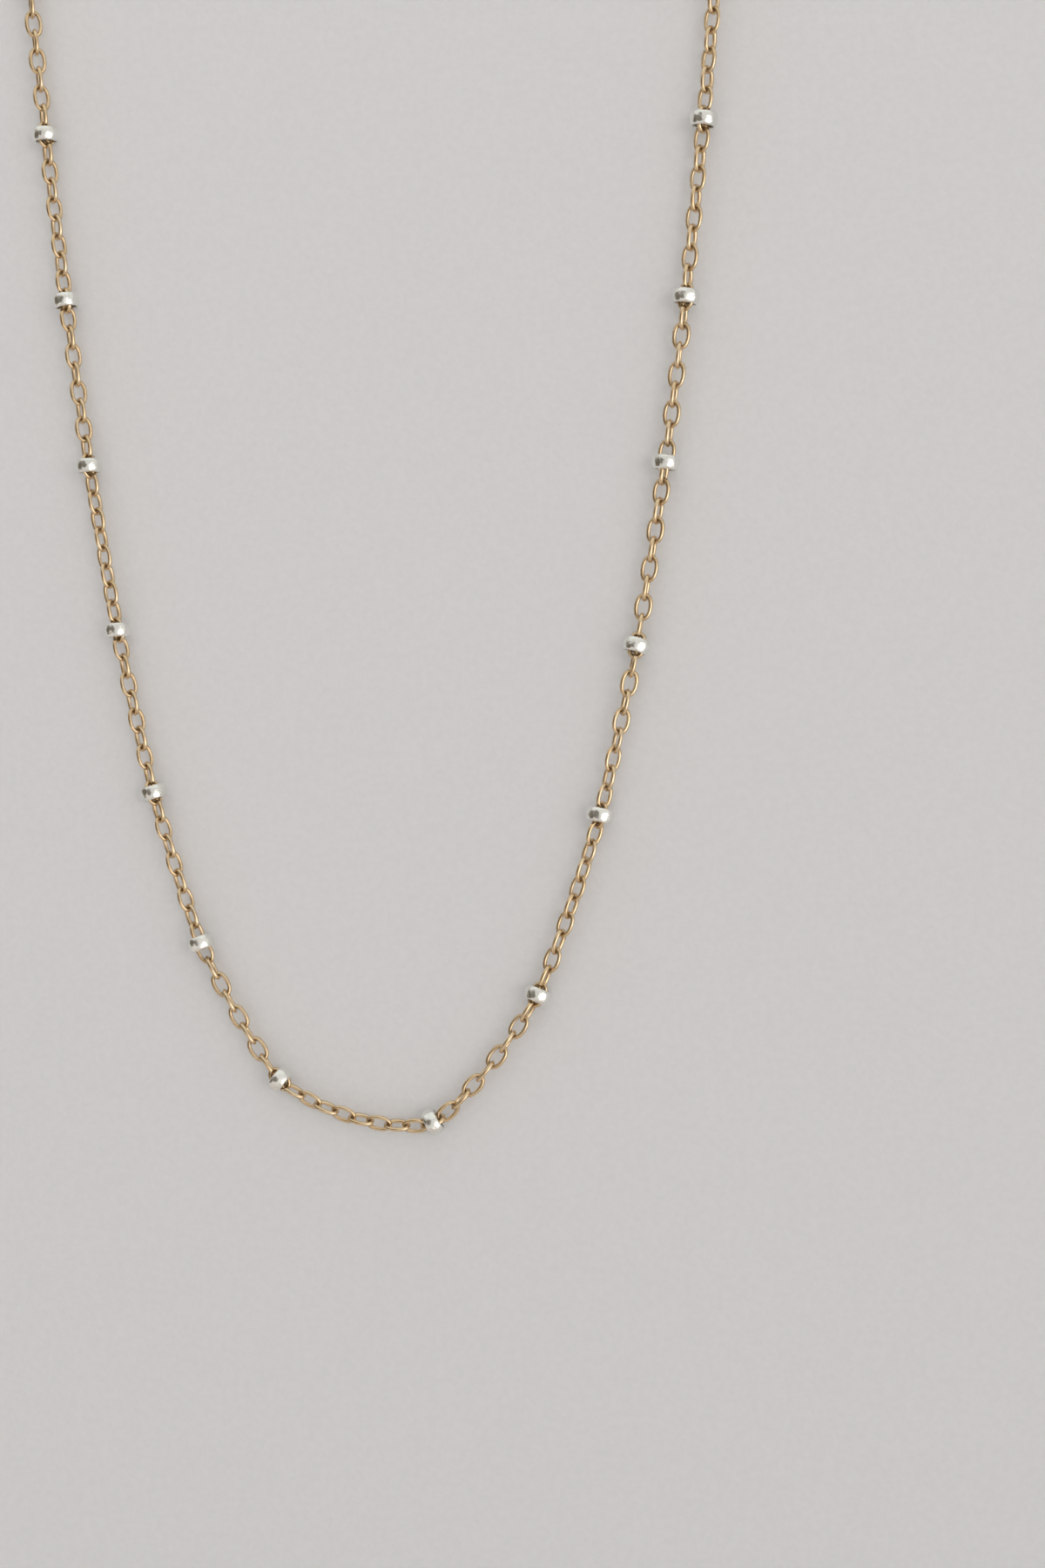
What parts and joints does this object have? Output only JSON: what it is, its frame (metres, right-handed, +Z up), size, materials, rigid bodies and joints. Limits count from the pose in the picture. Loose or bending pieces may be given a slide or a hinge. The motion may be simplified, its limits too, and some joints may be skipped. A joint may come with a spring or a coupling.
{
  "type": "station necklace",
  "caption": "Fine oval-link cable chain in a closed loop, threaded at even stations through small round ring beads, closed by a plain ring clasp with two eyes.",
  "frame": {"origin": "where the loop rests at the top: the inner side of the clasp's ring, in the loop's own plane", "axes": "+Z up, the way the loop hangs; +X to the right as the front view shows it; +Y away from the viewer, square to the loop's plane"},
  "size_m": [0.0831, 0.003, 0.1972],
  "materials": {
    "gold": "polished pale yellow gold fill",
    "silver": "polished sterling silver"
  },
  "bodies": {
    "root": {"chain_left": "gold", "chain_right": "gold", "clasp": "gold", "bead_01": "silver", "bead_02": "silver", "bead_03": "silver", "bead_04": "silver", "bead_05": "silver", "bead_06": "silver", "bead_07": "silver", "bead_08": "silver", "bead_09": "silver", "bead_10": "silver", "bead_11": "silver", "bead_12": "silver", "bead_13": "silver", "bead_14": "silver", "bead_15": "silver", "bead_16": "silver", "bead_17": "silver", "bead_18": "silver", "bead_19": "silver", "bead_20": "silver", "bead_21": "silver", "bead_22": "silver", "bead_23": "silver", "bead_24": "silver"}
  },
  "joints": []
}
